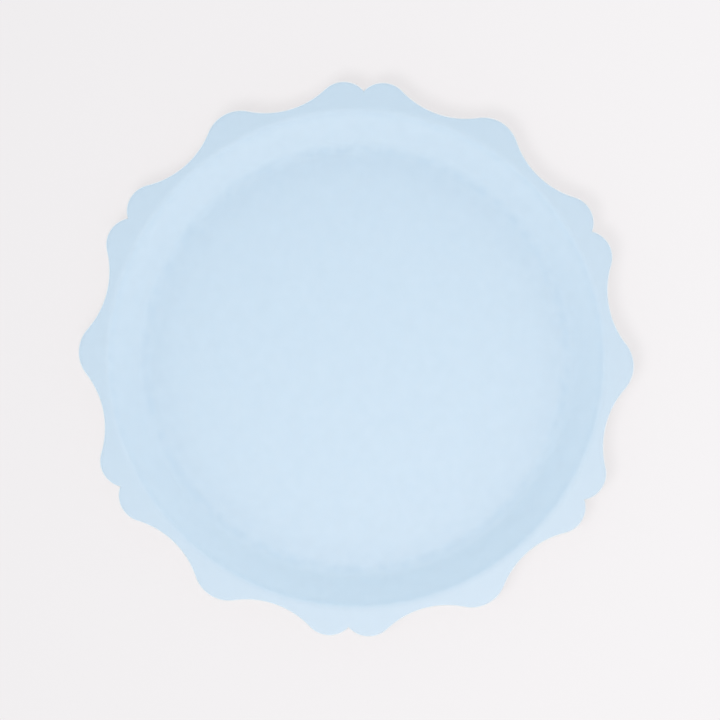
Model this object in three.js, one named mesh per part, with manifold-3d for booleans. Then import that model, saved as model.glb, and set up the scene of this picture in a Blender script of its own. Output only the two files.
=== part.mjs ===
// A shallow round side plate, pressed from a laminated fibre sheet and die-cut to a scalloped edge.
// Millimetres, +Z up, with the origin at the middle of the underside, where the plate stands.
import * as THREE from 'three';
import { mergeVertices } from 'three/addons/utils/BufferGeometryUtils.js';
import Module from 'manifold-3d';

// Layers of the sheet, from the table up
const backPlyThickness = 0.2;
const corePlyThickness = 0.4;
const facePlyThickness = 0.2;
const barrierFilmThickness = 0.05;
const bondLine = 0.02; // glue between neighbouring layers

// Pressed section, along the underside from the axis outwards
const floorRadius = 77.3; // where the floor would meet the wall with no fillet between them
const wallSpan = 12.7; // level distance from there to the crest
const wallRise = 12.2; // height of the crest over the floor
const rimWidth = 10; // level distance from the crest to the tips of the lobes
const rimFall = 0.9; // drop of the rim from the crest to the tips of the lobes
const floorFillet = 9; // inside the plate, on the food side
const crestFillet = 2.5; // inside the fold, on the underside

// Die-cut outline: a notch between two paired lobes, a valley, a single lobe, a valley, and so round
const scallopCount = 6;
const notchDepth = 3.5; // below the tips of the lobes
const pairedLobeRadius = 9.4;
const singleLobeRadius = 12.4;
const valleyRadius = 31.9;
const cutBevel = 0.45; // lean of the cut edge, outwards from the food side to the underside

// Facets
const aroundSteps = 72;
const floorFilletSteps = 4;
const crestFilletSteps = 3;
const outlineSteps = 3;
const vertexMergeDistance = 1e-4;

const layers = [
  { name: 'back_ply', thickness: backPlyThickness, colour: 0xeceff0, roughness: 0.9 },
  { name: 'core_ply', thickness: corePlyThickness, colour: 0xe9eeef, roughness: 0.95 },
  { name: 'face_ply', thickness: facePlyThickness, colour: 0xd2e5f5, roughness: 0.85 },
  { name: 'barrier_film', thickness: barrierFilmThickness, colour: 0xdcecf8, roughness: 0.6 },
];

const sheetThickness = layers.reduce((sum, layer) => sum + layer.thickness + bondLine, -bondLine);
const crestRadius = floorRadius + wallSpan;
const tipRadius = crestRadius + rimWidth;
const sheetRadius = tipRadius + rimWidth; // before the die trims it
const wallAngle = Math.atan2(wallRise, wallSpan);
const rimAngle = Math.atan2(rimFall, rimWidth);
const scallopPitch = (2 * Math.PI) / scallopCount;
const axis = new THREE.Vector2();

const wasm = await Module();
wasm.setup();

// A closed geometry as a solid, without the triangles that shrink to nothing on the axis
function toSolid(geometry) {
  geometry.deleteAttribute('normal');
  geometry.deleteAttribute('uv');
  const merged = mergeVertices(geometry, vertexMergeDistance);
  const corners = merged.index.array;
  const kept = [];
  for (let first = 0; first < corners.length; first += 3) {
    const [a, b, c] = corners.slice(first, first + 3);
    if (a !== b && b !== c && c !== a) kept.push(a, b, c);
  }
  const vertProperties = merged.attributes.position.array;
  return new wasm.Manifold(new wasm.Mesh({ numProp: 3, vertProperties, triVerts: Uint32Array.from(kept) }));
}

function toGeometry(solid) {
  const { vertProperties, triVerts } = solid.getMesh();
  const geometry = new THREE.BufferGeometry();
  geometry.setAttribute('position', new THREE.BufferAttribute(vertProperties, 3));
  geometry.setIndex(new THREE.BufferAttribute(triVerts, 1));
  geometry.computeVertexNormals();
  return geometry;
}

// Half section of the surface that lies this far above the underside, from the axis to the untrimmed edge.
// Every such surface bends about the same two fillet centres, so that all the layers stay parallel.
function pressedSection(offset) {
  const undersideFillet = floorFillet + sheetThickness;
  const floorCentreRadius = floorRadius - undersideFillet * Math.tan(wallAngle / 2);
  const floorBend = new THREE.EllipseCurve(
    floorCentreRadius,
    undersideFillet,
    undersideFillet - offset,
    undersideFillet - offset,
    -Math.PI / 2,
    wallAngle - Math.PI / 2,
  );

  const crestNormal = Math.PI / 2 + (wallAngle - rimAngle) / 2;
  const crestReach = crestFillet / Math.cos((wallAngle + rimAngle) / 2);
  const crestBend = new THREE.EllipseCurve(
    crestRadius - crestReach * Math.cos(crestNormal),
    wallRise - crestReach * Math.sin(crestNormal),
    crestFillet + offset,
    crestFillet + offset,
    Math.PI / 2 + wallAngle,
    Math.PI / 2 - rimAngle,
    true,
  );

  const crestPoints = crestBend.getPoints(crestFilletSteps);
  const rimStart = crestPoints.at(-1);
  const sheetEdge = new THREE.Vector2(
    sheetRadius,
    rimStart.y - (sheetRadius - rimStart.x) * Math.tan(rimAngle),
  );
  return [new THREE.Vector2(0, offset), ...floorBend.getPoints(floorFilletSteps), ...crestPoints, sheetEdge];
}

// A circle of the outline, placed by its distance from the axis and its angle from the notch
function outlineCircle(distance, angle, radius) {
  const centre = new THREE.Vector2(distance * Math.cos(angle), distance * Math.sin(angle));
  return { centre, radius };
}

// The circle outside the plate that runs smoothly into two neighbouring lobes
function valleyBetween(first, second) {
  const across = second.centre.clone().sub(first.centre);
  const firstReach = first.radius + valleyRadius;
  const secondReach = second.radius + valleyRadius;
  const along = (across.lengthSq() + firstReach ** 2 - secondReach ** 2) / (2 * across.length());
  const outwards = Math.sqrt(firstReach ** 2 - along ** 2);
  const centre = new THREE.Vector2(along, -outwards).rotateAround(axis, across.angle()).add(first.centre);
  return { centre, radius: valleyRadius };
}

function direction(from, to) {
  return Math.atan2(to.y - from.y, to.x - from.x);
}

// Die outline: the arcs of half a scallop, then their mirror image, repeated around the axis.
// The growth sets it that far outside the outline of the food side.
function scallopOutline(growth) {
  const pairedDistance = tipRadius - pairedLobeRadius;
  const notchRadius = tipRadius - notchDepth;
  const pairedAngle = Math.acos(
    (pairedDistance ** 2 + notchRadius ** 2 - pairedLobeRadius ** 2) / (2 * pairedDistance * notchRadius),
  );
  const pairedLobe = outlineCircle(pairedDistance, pairedAngle, pairedLobeRadius);
  const singleLobe = outlineCircle(tipRadius - singleLobeRadius, scallopPitch / 2, singleLobeRadius);
  const valley = valleyBetween(pairedLobe, singleLobe);
  const notchReach = Math.sqrt((pairedLobeRadius + growth) ** 2 - pairedLobe.centre.y ** 2);
  const notch = new THREE.Vector2(pairedLobe.centre.x + notchReach, 0);
  const halfScallop = [
    {
      circle: pairedLobe,
      from: direction(pairedLobe.centre, notch),
      to: direction(pairedLobe.centre, valley.centre),
      hollow: false,
    },
    {
      circle: valley,
      from: direction(valley.centre, pairedLobe.centre),
      to: direction(valley.centre, singleLobe.centre),
      hollow: true,
    },
    {
      circle: singleLobe,
      from: direction(singleLobe.centre, valley.centre),
      to: scallopPitch / 2,
      hollow: false,
    },
  ];
  const otherHalf = halfScallop.toReversed().map(({ circle, from, to, hollow }) => ({
    circle: outlineCircle(circle.centre.length(), scallopPitch - circle.centre.angle(), circle.radius),
    from: scallopPitch - to,
    to: scallopPitch - from,
    hollow,
  }));

  const outline = new THREE.Shape();
  for (let index = 0; index < scallopCount; index += 1) {
    const turn = Math.PI / 2 + index * scallopPitch;
    for (const { circle, from, to, hollow } of [...halfScallop, ...otherHalf]) {
      const { x, y } = circle.centre.clone().rotateAround(axis, turn);
      const radius = hollow ? circle.radius - growth : circle.radius + growth;
      outline.absarc(x, y, radius, turn + from, turn + to, hollow);
    }
  }
  return outline;
}

// The die reaches one sheet thickness below the plate and above its crest
function cuttingDie(growth) {
  const depth = wallRise + 3 * sheetThickness;
  const geometry = new THREE.ExtrudeGeometry(scallopOutline(growth), {
    depth,
    bevelEnabled: false,
    curveSegments: outlineSteps,
  });
  geometry.translate(0, 0, -sheetThickness);
  return toSolid(geometry);
}

// One layer of the pressed sheet, between two parallel surfaces, trimmed where the cut meets its underside
function pressedLayer(layer, underside) {
  const lower = pressedSection(underside);
  const upper = pressedSection(underside + layer.thickness);
  const sheet = new THREE.LatheGeometry([...lower, ...upper.reverse()], aroundSteps);
  sheet.rotateX(Math.PI / 2);
  const die = cuttingDie(cutBevel * (1 - underside / sheetThickness));
  const material = new THREE.MeshStandardMaterial({
    color: layer.colour,
    roughness: layer.roughness,
    metalness: 0,
  });
  const mesh = new THREE.Mesh(toGeometry(toSolid(sheet).intersect(die)), material);
  mesh.name = layer.name;
  return mesh;
}

const plate = new THREE.Group();
let underside = 0;
for (const layer of layers) {
  plate.add(pressedLayer(layer, underside));
  underside += layer.thickness + bondLine;
}

export default plate;
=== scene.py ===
import math

import bpy
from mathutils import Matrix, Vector


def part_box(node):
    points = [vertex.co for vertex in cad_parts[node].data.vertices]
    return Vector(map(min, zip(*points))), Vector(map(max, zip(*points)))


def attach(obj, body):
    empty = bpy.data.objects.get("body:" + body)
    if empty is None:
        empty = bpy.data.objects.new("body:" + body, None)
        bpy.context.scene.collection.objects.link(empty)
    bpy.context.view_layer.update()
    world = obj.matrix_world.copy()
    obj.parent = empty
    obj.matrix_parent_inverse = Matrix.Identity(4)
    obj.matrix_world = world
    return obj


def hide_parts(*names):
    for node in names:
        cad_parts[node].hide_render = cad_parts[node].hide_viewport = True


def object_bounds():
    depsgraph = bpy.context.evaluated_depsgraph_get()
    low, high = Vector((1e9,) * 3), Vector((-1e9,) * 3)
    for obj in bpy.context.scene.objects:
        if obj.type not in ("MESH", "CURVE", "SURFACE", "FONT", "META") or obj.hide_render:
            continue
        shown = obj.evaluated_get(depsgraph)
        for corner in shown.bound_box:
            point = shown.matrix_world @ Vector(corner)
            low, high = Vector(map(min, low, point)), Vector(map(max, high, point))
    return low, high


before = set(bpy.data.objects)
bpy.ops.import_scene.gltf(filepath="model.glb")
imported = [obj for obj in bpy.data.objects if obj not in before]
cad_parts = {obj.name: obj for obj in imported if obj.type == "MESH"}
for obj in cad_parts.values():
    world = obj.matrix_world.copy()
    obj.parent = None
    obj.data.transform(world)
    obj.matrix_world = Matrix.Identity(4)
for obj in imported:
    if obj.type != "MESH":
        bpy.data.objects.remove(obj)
cadLow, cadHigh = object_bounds()
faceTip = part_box("face_ply")[1].x  # from the axis to the tip of a single lobe
mm = 0.001
print("frame loaded:", sorted(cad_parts))

# Pressed section, measured along the underside from the axis outwards
plateSizes = {
    "Floor Radius": 77.3 * mm,
    "Wall Span": 12.7 * mm,
    "Wall Rise": 12.2 * mm,
    "Rim Width": 10.0 * mm,
    "Rim Fall": 0.9 * mm,
    "Floor Fillet": 9.0 * mm,
    "Crest Fillet": 2.5 * mm,
    "Sheet Thickness": 0.91 * mm,
    "Cut Bevel": 0.45 * mm,  # lean of the cut, outwards from the food side to the underside
    "Waviness": 0.12 * mm,  # slow unevenness, none on the floor and most at the edge
    "Wave Scale": 14.0,
}

# Die-cut edge: notch, paired lobe, valley, single lobe
scallopSizes = {
    "repeats": 6,
    "tipRadius": 100.0 * mm,
    "notchDepth": 3.5 * mm,
    "pairedLobeRadius": 9.4 * mm,
    "singleLobeRadius": 12.4 * mm,
    "valleyRadius": 31.9 * mm,
}

# Faces along each stretch of the section and around the axis
meshSteps = {
    "Bend Rings": 10,
    "Wall Rings": 6,
    "Crest Rings": 7,
    "Rim Rings": 6,
    "Edge Rings": 6,
    "Around Steps": 720,
}
mergeDistance = 0.001 * mm  # closes the seam and the middle


def polar(distance, angle):
    return Vector((distance * math.cos(angle), distance * math.sin(angle)))


def polarAngle(point):
    return math.atan2(point.y, point.x)


# The arcs of half a repeat, which touch one another, and the angles where one runs into the next
def scallopArcs(sizes):
    halfPitch = math.pi / sizes["repeats"]
    tip, notchDistance = sizes["tipRadius"], sizes["tipRadius"] - sizes["notchDepth"]
    paired, single, hollow = sizes["pairedLobeRadius"], sizes["singleLobeRadius"], sizes["valleyRadius"]
    pairedDistance = tip - paired
    cosine = (pairedDistance**2 + notchDistance**2 - paired**2) / (2 * pairedDistance * notchDistance)
    pairedCentre = polar(pairedDistance, math.acos(cosine))
    singleCentre = polar(tip - single, halfPitch)
    pairedReach, singleReach = paired + hollow, single + hollow
    across = singleCentre - pairedCentre
    along = (across.length_squared + pairedReach**2 - singleReach**2) / (2 * across.length)
    outwards = math.sqrt(pairedReach**2 - along**2)
    unit = across.normalized()
    valleyCentre = pairedCentre + along * unit + outwards * Vector((unit.y, -unit.x))
    pairedTouch = pairedCentre + (valleyCentre - pairedCentre).normalized() * paired
    singleTouch = singleCentre + (valleyCentre - singleCentre).normalized() * single
    return {
        "Half Pitch": halfPitch,
        "Paired Lobe Radius": paired,
        "Paired Lobe Distance": pairedDistance,
        "Paired Lobe Angle": polarAngle(pairedCentre),
        "Valley Radius": hollow,
        "Valley Distance": valleyCentre.length,
        "Valley Angle": polarAngle(valleyCentre),
        "Single Lobe Radius": single,
        "Single Lobe Distance": tip - single,
        "Valley Start": polarAngle(pairedTouch),
        "Valley End": polarAngle(singleTouch),
    }


arcs = scallopArcs(scallopSizes)


# Node tree helpers
def newNode(tree, kind, **settings):
    node = tree.nodes.new(kind)
    for name, value in settings.items():
        setattr(node, name, value)
    return node


def feed(tree, socket, value):
    if isinstance(value, bpy.types.NodeSocket):
        tree.links.new(value, socket)
    else:
        socket.default_value = value


def calculator(tree):
    def calc(operation, *values):
        node = newNode(tree, "ShaderNodeMath", operation=operation)
        for socket, value in zip(node.inputs, values):
            feed(tree, socket, value)
        return node.outputs[0]

    return calc


def splitVector(tree, vector):
    node = newNode(tree, "ShaderNodeSeparateXYZ")
    feed(tree, node.inputs[0], vector)
    return node.outputs


def mapRange(tree, value, low, high, start=0.0, end=1.0, smooth=False):
    course = "SMOOTHSTEP" if smooth else "LINEAR"
    node = newNode(tree, "ShaderNodeMapRange", clamp=True, interpolation_type=course)
    for socket, item in zip(node.inputs, (value, low, high, start, end)):
        feed(tree, socket, item)
    return node.outputs[0]


def mixColours(tree, share, first, second):
    node = newNode(tree, "ShaderNodeMix", data_type="RGBA")
    feed(tree, node.inputs["Factor"], share)
    feed(tree, node.inputs["A"], first)
    feed(tree, node.inputs["B"], second)
    return node.outputs["Result"]


def addInputs(tree, kind, names):
    for name in names:
        tree.interface.new_socket(name, in_out="INPUT", socket_type=kind)


def setInputs(modifier, values):
    for item in modifier.node_group.interface.items_tree:
        if item.item_type == "SOCKET" and item.in_out == "INPUT":
            modifier[item.identifier] = values[item.name]


# Edge radius at an angle from the nearest notch, grown outwards by the lean of the cut
def scallopRadius(tree, sizes, angle, growth):
    calc = calculator(tree)

    def circle(name, turn, side):
        away = calc("SUBTRACT", angle, turn)
        distance = sizes[name + " Distance"]
        across = calc("MULTIPLY", distance, calc("SINE", away))
        grown = calc("MULTIPLY_ADD", growth, side, sizes[name + " Radius"])
        square = calc("SUBTRACT", calc("POWER", grown, 2), calc("POWER", across, 2))
        chord = calc("SQRT", calc("MAXIMUM", square, 0))
        return calc("MULTIPLY_ADD", chord, side, calc("MULTIPLY", distance, calc("COSINE", away)))

    def choose(limit, before, after):
        node = newNode(tree, "GeometryNodeSwitch", input_type="FLOAT")
        feed(tree, node.inputs["Switch"], calc("LESS_THAN", angle, limit))
        feed(tree, node.inputs["True"], before)
        feed(tree, node.inputs["False"], after)
        return node.outputs[0]

    paired = circle("Paired Lobe", sizes["Paired Lobe Angle"], 1)
    valley = circle("Valley", sizes["Valley Angle"], -1)
    single = circle("Single Lobe", sizes["Half Pitch"], 1)
    pastPaired = choose(sizes["Valley End"], valley, single)
    return choose(sizes["Valley Start"], paired, pastPaired)


# One pressed and trimmed layer: a grid wrapped round the axis, its rows running along the underside,
# round the cut edge and back along the top
def pressedLayerTree():
    tree = bpy.data.node_groups.new("pressedLayer", "GeometryNodeTree")
    addInputs(tree, "NodeSocketFloat", ["Level", "Thickness", "Edge Round", *plateSizes, *arcs])
    addInputs(tree, "NodeSocketInt", ["Floor Rings", *meshSteps])
    addInputs(tree, "NodeSocketMaterial", ["Material"])
    tree.interface.new_socket("Geometry", in_out="OUTPUT", socket_type="NodeSocketGeometry")
    sizes = newNode(tree, "NodeGroupInput").outputs
    calc = calculator(tree)

    def total(*parts):
        result = parts[0]
        for part in parts[1:]:
            result = calc("ADD", result, part)
        return result

    # rings at which one stretch of the section ends and the next starts
    ends = [0]
    for stretch in ("Floor Rings", "Bend Rings", "Wall Rings", "Crest Rings", "Rim Rings"):
        ends.append(calc("ADD", ends[-1], sizes[stretch]))
    sideRings = ends[-1]
    lastRing = calc("MULTIPLY_ADD", sideRings, 2, sizes["Edge Rings"])

    grid = newNode(tree, "GeometryNodeMeshGrid")
    feed(tree, grid.inputs["Size X"], lastRing)
    feed(tree, grid.inputs["Size Y"], sizes["Around Steps"])
    feed(tree, grid.inputs["Vertices X"], calc("ADD", lastRing, 1))
    feed(tree, grid.inputs["Vertices Y"], calc("ADD", sizes["Around Steps"], 1))
    place = splitVector(tree, newNode(tree, "GeometryNodeInputPosition").outputs[0])
    ring = calc("ROUND", calc("MULTIPLY_ADD", lastRing, 0.5, place["X"]))
    step = calc("ROUND", calc("MULTIPLY_ADD", sizes["Around Steps"], 0.5, place["Y"]))

    # how far along each stretch a ring lies, and how far through the layer
    fromAxis = calc("MINIMUM", calc("MINIMUM", ring, calc("SUBTRACT", lastRing, ring)), sideRings)
    onFloor, onBend, onWall, onCrest, onRim = [
        mapRange(tree, fromAxis, start, end) for start, end in zip(ends, ends[1:])
    ]
    edgeEnd = calc("ADD", sideRings, sizes["Edge Rings"])
    depth = mapRange(tree, ring, sideRings, edgeEnd, -1.0, 1.0)
    rise = calc("MULTIPLY_ADD", depth, 0.5, 0.5)
    offset = calc("MULTIPLY_ADD", rise, sizes["Thickness"], sizes["Level"])

    wallAngle = calc("ARCTAN2", sizes["Wall Rise"], sizes["Wall Span"])
    rimAngle = calc("ARCTAN2", sizes["Rim Fall"], sizes["Rim Width"])
    sinWall, cosWall = calc("SINE", wallAngle), calc("COSINE", wallAngle)
    floorBend = calc("ADD", sizes["Floor Fillet"], sizes["Sheet Thickness"])
    halfWall = calc("TANGENT", calc("MULTIPLY", wallAngle, 0.5))
    flatRadius = calc("SUBTRACT", sizes["Floor Radius"], calc("MULTIPLY", floorBend, halfWall))

    # centre of the crest's bend, under the fold
    fold = calc("MULTIPLY", calc("ADD", wallAngle, rimAngle), 0.5)
    lean = calc("MULTIPLY", calc("SUBTRACT", wallAngle, rimAngle), 0.5)
    reach = calc("DIVIDE", sizes["Crest Fillet"], calc("COSINE", fold))
    crestRadius = calc("ADD", sizes["Floor Radius"], sizes["Wall Span"])
    crestX = calc("MULTIPLY_ADD", reach, calc("SINE", lean), crestRadius)
    crestZ = calc("SUBTRACT", sizes["Wall Rise"], calc("MULTIPLY", reach, calc("COSINE", lean)))
    bends = calc("ADD", floorBend, sizes["Crest Fillet"])
    wallRun = calc("SUBTRACT", calc("SUBTRACT", crestX, flatRadius), calc("MULTIPLY", bends, sinWall))
    wallUp = calc("MULTIPLY_ADD", bends, cosWall, calc("SUBTRACT", crestZ, floorBend))

    innerBend = calc("SUBTRACT", floorBend, offset)
    outerBend = calc("ADD", sizes["Crest Fillet"], offset)
    bendTurn = calc("MULTIPLY", onBend, wallAngle)
    crestTurn = calc("SUBTRACT", calc("MULTIPLY", onCrest, calc("ADD", wallAngle, rimAngle)), wallAngle)
    rimStart = calc("MULTIPLY_ADD", outerBend, calc("SINE", rimAngle), crestX)

    # the cut edge, with each layer's own corners rounded
    angle = calc("DIVIDE", calc("MULTIPLY", step, math.tau), sizes["Around Steps"])
    fromNotch = calc("PINGPONG", angle, sizes["Half Pitch"])
    bulge = calc("SQRT", calc("SUBTRACT", 1.0, calc("POWER", calc("ABSOLUTE", depth), 2)))
    inset = calc("MULTIPLY", sizes["Edge Round"], calc("SUBTRACT", 1.0, bulge))
    through = calc("SUBTRACT", 1.0, calc("DIVIDE", offset, sizes["Sheet Thickness"]))
    growth = calc("SUBTRACT", calc("MULTIPLY", sizes["Cut Bevel"], through), inset)
    edge = scallopRadius(tree, sizes, fromNotch, growth)
    rimRun = calc("MULTIPLY", onRim, calc("SUBTRACT", edge, rimStart))

    radius = total(
        calc("MULTIPLY", onFloor, flatRadius),
        calc("MULTIPLY", innerBend, calc("SINE", bendTurn)),
        calc("MULTIPLY", onWall, wallRun),
        calc("MULTIPLY", outerBend, calc("ADD", calc("SINE", crestTurn), sinWall)),
        rimRun,
    )
    height = total(
        offset,
        calc("MULTIPLY", innerBend, calc("SUBTRACT", 1.0, calc("COSINE", bendTurn))),
        calc("MULTIPLY", onWall, wallUp),
        calc("MULTIPLY", outerBend, calc("SUBTRACT", calc("COSINE", crestTurn), cosWall)),
        calc("MULTIPLY", calc("MULTIPLY", rimRun, calc("TANGENT", rimAngle)), -1.0),
    )

    # slow unevenness of the pressing, the same through all the layers, so that they stay parallel
    reachOut = total(
        calc("MULTIPLY", onFloor, flatRadius),
        calc("MULTIPLY", onBend, calc("MULTIPLY", floorBend, sinWall)),
        calc("MULTIPLY", onWall, wallRun),
        calc("MULTIPLY", onCrest, sizes["Crest Fillet"]),
        calc("MULTIPLY", onRim, sizes["Rim Width"]),
    )

    def around(distance, up):
        node = newNode(tree, "ShaderNodeCombineXYZ")
        feed(tree, node.inputs["X"], calc("MULTIPLY", distance, calc("SINE", angle)))
        feed(tree, node.inputs["Y"], calc("MULTIPLY", distance, calc("COSINE", angle)))
        feed(tree, node.inputs["Z"], up)
        return node.outputs[0]

    wave = newNode(tree, "ShaderNodeTexNoise", noise_dimensions="3D")
    feed(tree, wave.inputs["Vector"], around(reachOut, 0.0))
    feed(tree, wave.inputs["Scale"], sizes["Wave Scale"])
    wave.inputs["Detail"].default_value = 1.0
    lift = calc("MULTIPLY", calc("SUBTRACT", wave.outputs[0], 1.0), sizes["Waviness"])
    lift = calc("MULTIPLY", lift, mapRange(tree, fromAxis, ends[1], sideRings))

    shaped = newNode(tree, "GeometryNodeSetPosition")
    feed(tree, shaped.inputs["Geometry"], grid.outputs["Mesh"])
    feed(tree, shaped.inputs["Position"], around(radius, calc("ADD", height, lift)))
    closed = newNode(tree, "GeometryNodeMergeByDistance")
    feed(tree, closed.inputs["Geometry"], shaped.outputs[0])
    closed.inputs["Distance"].default_value = mergeDistance
    smooth = newNode(tree, "GeometryNodeSetShadeSmooth")
    feed(tree, smooth.inputs["Geometry"], closed.outputs[0])
    real = newNode(tree, "GeometryNodeRealizeInstances")
    feed(tree, real.inputs[0], smooth.outputs[0])
    painted = newNode(tree, "GeometryNodeSetMaterial")
    feed(tree, painted.inputs["Geometry"], real.outputs[0])
    feed(tree, painted.inputs["Material"], sizes["Material"])
    feed(tree, newNode(tree, "NodeGroupOutput").inputs[0], painted.outputs[0])
    return tree


def makeLayer(piece, tree, material):
    name = piece["node"] + "_pressed"
    layer = bpy.data.objects.new(name, bpy.data.meshes.new(name))
    bpy.context.scene.collection.objects.link(layer)
    modifier = layer.modifiers.new("pressing", "NODES")
    modifier.node_group = tree
    ownSizes = {
        "Level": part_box(piece["node"])[0].z,
        "Thickness": piece["thickness"],
        "Edge Round": piece["edgeRound"],
        "Floor Rings": piece["floorRings"],
        "Material": material,
    }
    setInputs(modifier, {**plateSizes, **arcs, **meshSteps, **ownSizes})
    evaluated = layer.evaluated_get(bpy.context.evaluated_depsgraph_get())
    mesh = bpy.data.meshes.new_from_object(evaluated)
    layer.modifiers.remove(modifier)
    layer.data = mesh
    mesh.name = name
    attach(layer, "root")
    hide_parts(piece["node"])
    print(name, "made:", len(mesh.vertices), "points,", len(mesh.polygons), "faces")
    return layer


# Grain that the plies share: noise sizes, and the levels between which each mark fades in
fibreGrain = {
    "clouds": {"scale": 55.0, "detail": 5.0, "rough": 0.62, "from": 0.35, "to": 0.68},
    "felt": {"scale": 560.0, "detail": 4.0, "rough": 0.6, "from": 0.5, "to": 0.8},
    "tufts": {"scale": 330.0, "detail": 2.0, "rough": 0.5, "from": 0.4, "to": 0.62},
    "blotches": {"scale": 260.0, "detail": 4.0, "rough": 0.6, "from": 0.4, "to": 0.6},
    "strands": {"scale": 1.0, "detail": 2.0, "rough": 0.5, "from": 0.56, "to": 0.74},
    "strandTurns": (23, -41, 86),  # degrees
    "strandScale": (2600.0, 420.0, 420.0),  # across a strand, along it and through it
    "specks": {"scale": 210.0, "from": 0.03, "to": 0.1},
    "leastShade": 0.5,  # between the blotches of a ring of painted shade
    # share of the painted shade on the rim
    "rimShadeShare": 0.6,
    "feltRelief": 0.6,
    "strandRelief": 0.4,
    "roughnessSpread": 0.25,
}

# Rings of painted shade at the floor's edge, the bend and the crest, from the axis outwards, and the
# start of the painted shade on the rim
paintedShadeRings = {
    "Floor Edge Radius": 71.5 * mm,
    "Floor Edge Width": 7.0 * mm,
    "Floor Edge Amount": 0.19,
    "Painted Bend Shade Radius": 76.2 * mm,
    "Painted Bend Shade Width": 3.2 * mm,
    "Painted Bend Shade Amount": 0.64,
    "Crest Radius": 88.7 * mm,
    "Crest Width": 2.2 * mm,
    "Crest Amount": 0.42,
    "Rim Radius": 88.6 * mm,
    "Rim Blend": 2.2 * mm,
}


# Fibre look shared by the plies: slow clouds, short fibres, sparse specks and a fine felted relief,
# with painted shade in rings and on the rim
def fibreGroup(grain):
    tree = bpy.data.node_groups.new("pressedFibre", "ShaderNodeTree")
    # the last two colours are painted shade: for the rings and for the rim
    addInputs(tree, "NodeSocketColor", ["Base", "Pale", "Deep", "Speck", "Painted Bend Shade", "Painted Rim Shading"])
    addInputs(tree, "NodeSocketFloat", ["Cloud Amount", "Tuft Amount", "Fibre Amount", "Speck Share"])
    addInputs(tree, "NodeSocketFloat", ["Roughness Middle", *paintedShadeRings])
    tree.interface.new_socket("Color", in_out="OUTPUT", socket_type="NodeSocketColor")
    tree.interface.new_socket("Roughness", in_out="OUTPUT", socket_type="NodeSocketFloat")
    tree.interface.new_socket("Height", in_out="OUTPUT", socket_type="NodeSocketFloat")
    values = newNode(tree, "NodeGroupInput").outputs
    calc = calculator(tree)
    place = newNode(tree, "ShaderNodeTexCoord").outputs["Object"]

    def noise(name, vector=place):
        node = newNode(tree, "ShaderNodeTexNoise")
        feed(tree, node.inputs["Vector"], vector)
        node.inputs["Scale"].default_value = grain[name]["scale"]
        node.inputs["Detail"].default_value = grain[name]["detail"]
        node.inputs["Roughness"].default_value = grain[name]["rough"]
        return node.outputs["Fac"]

    def strands(turn):
        mapping = newNode(tree, "ShaderNodeMapping")
        feed(tree, mapping.inputs["Vector"], place)
        mapping.inputs["Rotation"].default_value = (0.0, 0.0, math.radians(turn))
        mapping.inputs["Scale"].default_value = grain["strandScale"]
        return noise("strands", mapping.outputs[0])

    def fade(name, value):
        return mapRange(tree, value, grain[name]["from"], grain[name]["to"], smooth=True)

    def mark(name, value, amount, under, colour):
        share = calc("MULTIPLY", fade(name, value), values[amount])
        return mixColours(tree, share, under, values[colour])

    felt = noise("felt")
    first, second, third = [strands(turn) for turn in grain["strandTurns"]]
    fibres = calc("MAXIMUM", calc("MAXIMUM", first, second), third)

    # painted shade in rings at the floor's edge, the bend and the crest, blotched like the mottled
    # fibre there
    across = splitVector(tree, place)
    fromAxis = calc("SQRT", calc("ADD", calc("POWER", across["X"], 2), calc("POWER", across["Y"], 2)))

    def near(name):
        away = calc("ABSOLUTE", calc("SUBTRACT", fromAxis, values[name + " Radius"]))
        outside = mapRange(tree, calc("DIVIDE", away, values[name + " Width"]), 0.0, 1.0, smooth=True)
        return calc("MULTIPLY", calc("SUBTRACT", 1.0, outside), values[name + " Amount"])

    rings = calc("ADD", calc("ADD", near("Floor Edge"), near("Painted Bend Shade")), near("Crest"))
    blotches = fade("blotches", noise("blotches"))
    paintedShade = calc("MULTIPLY", rings, calc("ADD", blotches, grain["leastShade"]))
    # painted shade on the rim, fading in past the crest
    pastCrest = calc("DIVIDE", calc("SUBTRACT", fromAxis, values["Rim Radius"]), values["Rim Blend"])
    onRim = mapRange(tree, pastCrest, 0.0, 1.0, smooth=True)

    specks = newNode(tree, "ShaderNodeTexVoronoi")
    feed(tree, specks.inputs["Vector"], place)
    specks.inputs["Scale"].default_value = grain["specks"]["scale"]
    chosen = newNode(tree, "ShaderNodeSeparateColor")
    feed(tree, chosen.inputs[0], specks.outputs["Color"])
    isSpeck = calc("LESS_THAN", chosen.outputs[0], values["Speck Share"])
    dot = calc("SUBTRACT", 1.0, fade("specks", specks.outputs["Distance"]))
    speckMask = calc("MULTIPLY", isSpeck, calc("MULTIPLY", dot, chosen.outputs[1]))

    cloudy = mark("clouds", noise("clouds"), "Cloud Amount", values["Base"], "Deep")
    tufted = mark("tufts", noise("tufts"), "Tuft Amount", cloudy, "Pale")
    fibrous = mark("strands", fibres, "Fibre Amount", tufted, "Pale")
    grained = mark("felt", felt, "Fibre Amount", fibrous, "Deep")
    # painted shade over the grain: first in the rings, then on the rim
    ringShaded = mixColours(tree, paintedShade, grained, values["Painted Bend Shade"])
    rimShaded = mixColours(tree, onRim, ringShaded, mixColours(tree, grain["rimShadeShare"], ringShaded, values["Painted Rim Shading"]))
    colour = mixColours(tree, speckMask, rimShaded, values["Speck"])

    strandHeight = calc("MULTIPLY", fibres, grain["strandRelief"])
    relief = calc("ADD", calc("MULTIPLY", felt, grain["feltRelief"]), strandHeight)
    aroundMiddle = calc("SUBTRACT", felt, 0.5)
    gloss = calc("MULTIPLY_ADD", aroundMiddle, grain["roughnessSpread"], values["Roughness Middle"])
    out = newNode(tree, "NodeGroupOutput")
    feed(tree, out.inputs["Color"], colour)
    feed(tree, out.inputs["Roughness"], gloss)
    feed(tree, out.inputs["Height"], relief)
    return tree


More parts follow.
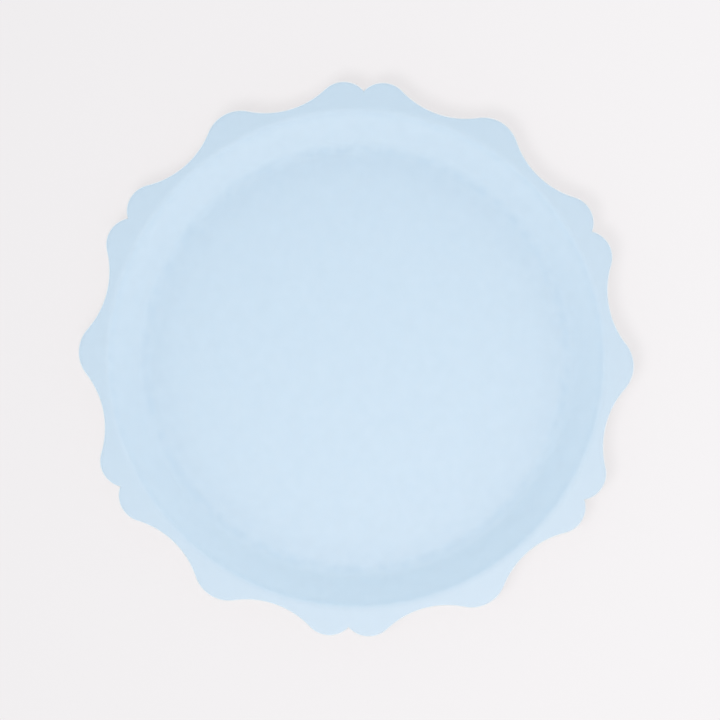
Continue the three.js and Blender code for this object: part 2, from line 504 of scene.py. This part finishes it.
def fibreMaterial(piece, group):
    material = bpy.data.materials.new(piece["material"])
    material.use_nodes = True
    tree = material.node_tree
    shader = tree.nodes["Principled BSDF"]
    shader.inputs["Specular IOR Level"].default_value = piece["specular"]
    fibre = newNode(tree, "ShaderNodeGroup", node_tree=group)
    for socket, value in {**paintedShadeRings, **piece["fibre"]}.items():
        fibre.inputs[socket].default_value = value
    bump = newNode(tree, "ShaderNodeBump")
    bump.inputs["Distance"].default_value = piece["relief"]
    bump.inputs["Strength"].default_value = 1.0
    feed(tree, bump.inputs["Height"], fibre.outputs["Height"])
    feed(tree, shader.inputs["Base Color"], fibre.outputs["Color"])
    feed(tree, shader.inputs["Roughness"], fibre.outputs["Roughness"])
    feed(tree, shader.inputs["Normal"], bump.outputs["Normal"])
    return material


# Clear film, a little cloudier in patches
def filmMaterial(piece):
    material = bpy.data.materials.new(piece["material"])
    material.use_nodes = True
    tree = material.node_tree
    calc = calculator(tree)
    shader = tree.nodes["Principled BSDF"]
    shader.inputs["Base Color"].default_value = piece["colour"]
    shader.inputs["Specular IOR Level"].default_value = piece["specular"]
    patches = newNode(tree, "ShaderNodeTexNoise")
    feed(tree, patches.inputs["Vector"], newNode(tree, "ShaderNodeTexCoord").outputs["Object"])
    patches.inputs["Scale"].default_value = piece["patchScale"]
    patches.inputs["Detail"].default_value = piece["patchDetail"]
    share = patches.outputs["Fac"]
    alpha = calc("MULTIPLY_ADD", share, piece["patchAlpha"], piece["leastAlpha"])
    roughness = calc("MULTIPLY_ADD", share, piece["patchRoughness"], piece["leastRoughness"])
    feed(tree, shader.inputs["Alpha"], alpha)
    feed(tree, shader.inputs["Roughness"], roughness)
    return material


# The layers, from the table up, each with its sizes and its look
backPly = {
    "node": "back_ply",
    "slot": "undyed_back_fibre",
    "material": "undyedBackFibre",
    "thickness": 0.2 * mm,
    "edgeRound": 0.05 * mm,
    "floorRings": 26,
    "specular": 0.2,
    "relief": 0.035 * mm,
    "fibre": {
        "Base": (0.838, 0.834, 0.830, 1.0),
        # painted shade for the rings; the rim colour is the base colour, so no rim shade here
        "Painted Bend Shade": (0.796, 0.792, 0.788, 1.0),
        "Painted Rim Shading": (0.838, 0.834, 0.830, 1.0),
        "Pale": (0.868, 0.862, 0.856, 1.0),
        "Deep": (0.782, 0.780, 0.778, 1.0),
        "Speck": (0.720, 0.712, 0.700, 1.0),
        "Cloud Amount": 0.5,
        "Tuft Amount": 0.4,
        "Fibre Amount": 0.35,
        "Speck Share": 0.08,
        "Roughness Middle": 0.88,
    },
}
corePly = {
    "node": "core_ply",
    "slot": "undyed_core_fibre",
    "material": "undyedCoreFibre",
    "thickness": 0.4 * mm,
    "edgeRound": 0.07 * mm,
    "floorRings": 4,
    "specular": 0.2,
    "relief": 0.03 * mm,
    "fibre": {
        "Base": (0.825, 0.822, 0.820, 1.0),
        # painted shade for the rings, and a faint painted light for the rim
        "Painted Bend Shade": (0.784, 0.781, 0.779, 1.0),
        "Painted Rim Shading": (0.830, 0.827, 0.824, 1.0),
        "Pale": (0.854, 0.850, 0.846, 1.0),
        "Deep": (0.762, 0.760, 0.758, 1.0),
        "Speck": (0.705, 0.698, 0.690, 1.0),
        "Cloud Amount": 0.5,
        "Tuft Amount": 0.4,
        "Fibre Amount": 0.4,
        "Speck Share": 0.05,
        "Roughness Middle": 0.9,
    },
}
facePly = {
    "node": "face_ply",
    "slot": "blue_face_fibre",
    "material": "blueFaceFibre",
    "thickness": 0.2 * mm,
    "edgeRound": 0.05 * mm,
    "floorRings": 26,
    "specular": 0.25,
    "relief": 0.02 * mm,
    "fibre": {
        "Base": (0.622, 0.751, 0.854, 1.0),
        # painted shade, for the rings and for the rim
        "Painted Bend Shade": (0.574, 0.714, 0.830, 1.0),
        "Painted Rim Shading": (0.582, 0.698, 0.795, 1.0),
        "Pale": (0.672, 0.782, 0.878, 1.0),
        "Deep": (0.574, 0.719, 0.848, 1.0),
        "Speck": (0.490, 0.665, 0.843, 1.0),
        "Cloud Amount": 0.08,
        "Tuft Amount": 0.16,
        "Fibre Amount": 0.28,
        "Speck Share": 0.05,
        "Roughness Middle": 0.8,
    },
}
barrierFilm = {
    "node": "barrier_film",
    "slot": "clear_film",
    "material": "clearFilm",
    "thickness": 0.05 * mm,
    "edgeRound": 0.01 * mm,
    "floorRings": 4,
    "specular": 0.3,
    "colour": (0.80, 0.89, 0.96, 1.0),
    "patchScale": 120.0,
    "patchDetail": 3.0,
    "leastAlpha": 0.03,
    "patchAlpha": 0.04,
    "leastRoughness": 0.55,
    "patchRoughness": 0.2,
}

fibre = fibreGroup(fibreGrain)
pressedTree = pressedLayerTree()
makeLayer(backPly, pressedTree, fibreMaterial(backPly, fibre))
makeLayer(corePly, pressedTree, fibreMaterial(corePly, fibre))
faceLayer = makeLayer(facePly, pressedTree, fibreMaterial(facePly, fibre))
filmLayer = makeLayer(barrierFilm, pressedTree, filmMaterial(barrierFilm))

# Floor, brighter to the right: painted light in its colour
floorLook = {
    "left": (0.868, 0.840, 0.844, 1.0),
    "right": (0.924, 0.894, 0.898, 1.0),
    "shadeReach": 0.13,  # from the middle to where each colour is full
    "roughness": 0.9,
    "glow": 0.85,  # share of its own light, as the camera and mirrors see it
    "glowLevel": 0.93,
    "reach": 3.0,
    "below": 0.1 * mm,  # under the plate
}


def makeFloor(look):
    half = look["reach"] / 2
    corners = [(-half, -half, 0), (half, -half, 0), (half, half, 0), (-half, half, 0)]
    mesh = bpy.data.meshes.new("floor")
    mesh.from_pydata(corners, [], [(0, 1, 2, 3)])
    floor = bpy.data.objects.new("floor", mesh)
    floor.location.z = -look["below"]
    bpy.context.scene.collection.objects.link(floor)
    material = bpy.data.materials.new("paleFloor")
    material.use_nodes = True
    tree = material.node_tree
    calc = calculator(tree)
    shader = tree.nodes["Principled BSDF"]
    shader.inputs["Roughness"].default_value = look["roughness"]
    shader.inputs["Specular IOR Level"].default_value = 0.0
    place = splitVector(tree, newNode(tree, "ShaderNodeTexCoord").outputs["Object"])
    # painted light: the colour runs from the darker left to the brighter right
    toRight = mapRange(tree, place["X"], -look["shadeReach"], look["shadeReach"])
    shade = mixColours(tree, toRight, look["left"], look["right"])
    feed(tree, shader.inputs["Base Color"], shade)
    glow = newNode(tree, "ShaderNodeEmission")
    feed(tree, glow.inputs["Color"], shade)
    glow.inputs["Strength"].default_value = look["glowLevel"]
    rays = newNode(tree, "ShaderNodeLightPath").outputs
    mirrored = calc("MAXIMUM", rays["Is Glossy Ray"], rays["Is Transmission Ray"])
    seen = calc("MAXIMUM", rays["Is Camera Ray"], mirrored)
    mix = newNode(tree, "ShaderNodeMixShader")
    feed(tree, mix.inputs[0], calc("MULTIPLY", seen, look["glow"]))
    feed(tree, mix.inputs[1], shader.outputs[0])
    feed(tree, mix.inputs[2], glow.outputs[0])
    feed(tree, tree.nodes["Material Output"].inputs["Surface"], mix.outputs[0])
    mesh.materials.append(material)
    print("floor made:", look["reach"], "m across")
    return floor


floor = makeFloor(floorLook)

# Soft light: one lamp for the food side, one for the plate's shadow on the floor, and the surround
lampLook = {
    "frontLamp": {
        "at": (0.109, -0.246, 0.38),
        "size": 0.3,
        "watts": 0.65,
        "colour": (1.0, 0.70, 0.54),
        "lights": [faceLayer, filmLayer],
    },
    "leftLamp": {
        "at": (-0.25, -0.30, 1.13),
        "size": 0.5,
        "watts": 9.5,
        "colour": (1.0, 1.0, 1.0),
        "lights": [floor],
    },
}
surroundLook = {
    "above": (0.757, 0.844, 0.908, 1.0),
    "sides": (0.982, 1.063, 1.134, 1.0),
    "ends": (1.188, 1.203, 1.156, 1.0),  # low down at the front and back
    "endsTurn": 10.0,  # degrees, anticlockwise from above
    "lowEnd": 0.2,  # heights, as the upward share of a direction
    "aboveStart": 0.7,
    "leastLevel": 1e-6,  # for straight up, which has no side
}


def makeLamp(name, look):
    data = bpy.data.lights.new(name, "AREA")
    data.shape = "DISK"
    data.size = look["size"]
    data.energy = look["watts"]
    data.color = look["colour"]
    lamp = bpy.data.objects.new(name, data)
    lamp.location = look["at"]
    lamp.rotation_mode = "QUATERNION"
    lamp.rotation_quaternion = (-Vector(look["at"])).to_track_quat("-Z", "Y")
    bpy.context.scene.collection.objects.link(lamp)
    lit = bpy.data.collections.new(name + "Lights")
    for piece in look["lights"]:
        lit.objects.link(piece)
    lamp.light_linking.receiver_collection = lit


# Light from all round, with its own level overhead, at the sides and at the front and back
def makeSurround(look):
    world = bpy.data.worlds.new("surround")
    world.use_nodes = True
    tree = world.node_tree
    calc = calculator(tree)
    direction = splitVector(tree, newNode(tree, "ShaderNodeTexCoord").outputs["Generated"])
    overhead = mapRange(tree, direction["Z"], look["lowEnd"], look["aboveStart"], smooth=True)
    turn = math.radians(look["endsTurn"])
    level = calc("ADD", calc("POWER", direction["X"], 2), calc("POWER", direction["Y"], 2))
    ahead = calc("MULTIPLY", direction["Y"], math.cos(turn))
    along = calc("MULTIPLY_ADD", direction["X"], -math.sin(turn), ahead)
    endShare = calc("DIVIDE", calc("POWER", along, 2), calc("MAXIMUM", level, look["leastLevel"]))
    low = mixColours(tree, endShare, look["sides"], look["ends"])
    sky = mixColours(tree, overhead, low, look["above"])
    feed(tree, tree.nodes["Background"].inputs["Color"], sky)
    bpy.context.scene.world = world


for name, look in lampLook.items():
    makeLamp(name, look)
makeSurround(surroundLook)
bpy.context.scene.view_settings.view_transform = "Standard"
print("lit by", len(lampLook), "lamps and the surround")

# Camera straight above, turned and placed as the photograph is
viewLook = {
    "pictureSide": 720,
    "plateCentre": (356.2, 359.1),  # pixels from the left and the top
    "lobePixels": 277.4,  # from the plate's centre to the tip of a lobe
    "turn": 1.62,  # degrees, clockwise in the picture
    "away": 3.0,  # above the rim
    "sensor": 36.0,
    "farEnd": 30.0,
}


def makeCamera(look):
    data = bpy.data.cameras.new("camera")
    camera = bpy.data.objects.new("camera", data)
    bpy.context.scene.collection.objects.link(camera)
    perPixel = faceTip / look["lobePixels"]
    data.sensor_width = look["sensor"]
    data.lens = look["sensor"] * look["away"] / (perPixel * look["pictureSide"])
    data.clip_end = look["farEnd"]
    turn = math.radians(look["turn"])
    right = Vector((math.cos(turn), math.sin(turn), 0))
    up = Vector((-math.sin(turn), math.cos(turn), 0))
    middle = look["pictureSide"] / 2
    acrossPixels, upPixels = middle - look["plateCentre"][0], look["plateCentre"][1] - middle
    camera.location = right * acrossPixels * perPixel + up * upPixels * perPixel
    camera.location.z = cadHigh.z + look["away"]
    camera.rotation_euler = (0, 0, turn)
    bpy.context.scene.camera = camera
    print("camera placed:", tuple(camera.location))


makeCamera(viewLook)
